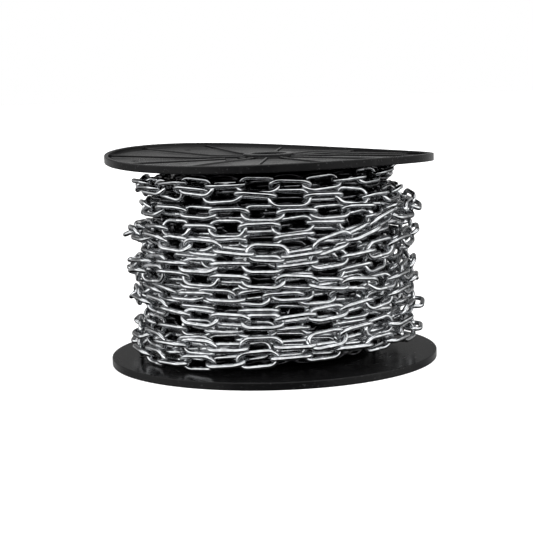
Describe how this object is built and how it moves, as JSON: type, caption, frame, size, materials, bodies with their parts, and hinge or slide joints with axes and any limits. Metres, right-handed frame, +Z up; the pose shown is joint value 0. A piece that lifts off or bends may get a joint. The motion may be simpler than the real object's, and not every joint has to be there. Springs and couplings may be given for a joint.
{
  "type": "reel of steel chain",
  "caption": "Black plastic reel standing on one flange, wound with bright zinc-plated long-link welded steel chain.",
  "frame": {"origin": "on the floor, at the reel's axis, under the bottom flange's rim", "axes": "+Z up along the reel's axis, +Y away from the picture's viewer, +X to the picture's right"},
  "size_m": [0.21, 0.21, 0.1364],
  "materials": {
    "black_plastic": "black moulded plastic, scuffed",
    "zinc_plated_steel": "bright zinc plating"
  },
  "bodies": {
    "root": {"bottom_flange": "black_plastic", "top_flange": "black_plastic", "barrel": "black_plastic", "chain_inner_layers": "zinc_plated_steel", "chain_outer_layer": "zinc_plated_steel", "chain_lower_layer": "zinc_plated_steel", "crossing_link_1": "zinc_plated_steel", "crossing_link_2": "zinc_plated_steel", "crossing_link_3": "zinc_plated_steel", "crossing_link_4": "zinc_plated_steel", "crossing_link_5": "zinc_plated_steel", "crossing_link_6": "zinc_plated_steel", "crossing_link_7": "zinc_plated_steel", "crossing_link_8": "zinc_plated_steel", "crossing_link_9": "zinc_plated_steel", "crossing_link_10": "zinc_plated_steel", "crossing_link_11": "zinc_plated_steel", "crossing_link_12": "zinc_plated_steel", "crossing_link_13": "zinc_plated_steel"}
  },
  "joints": []
}
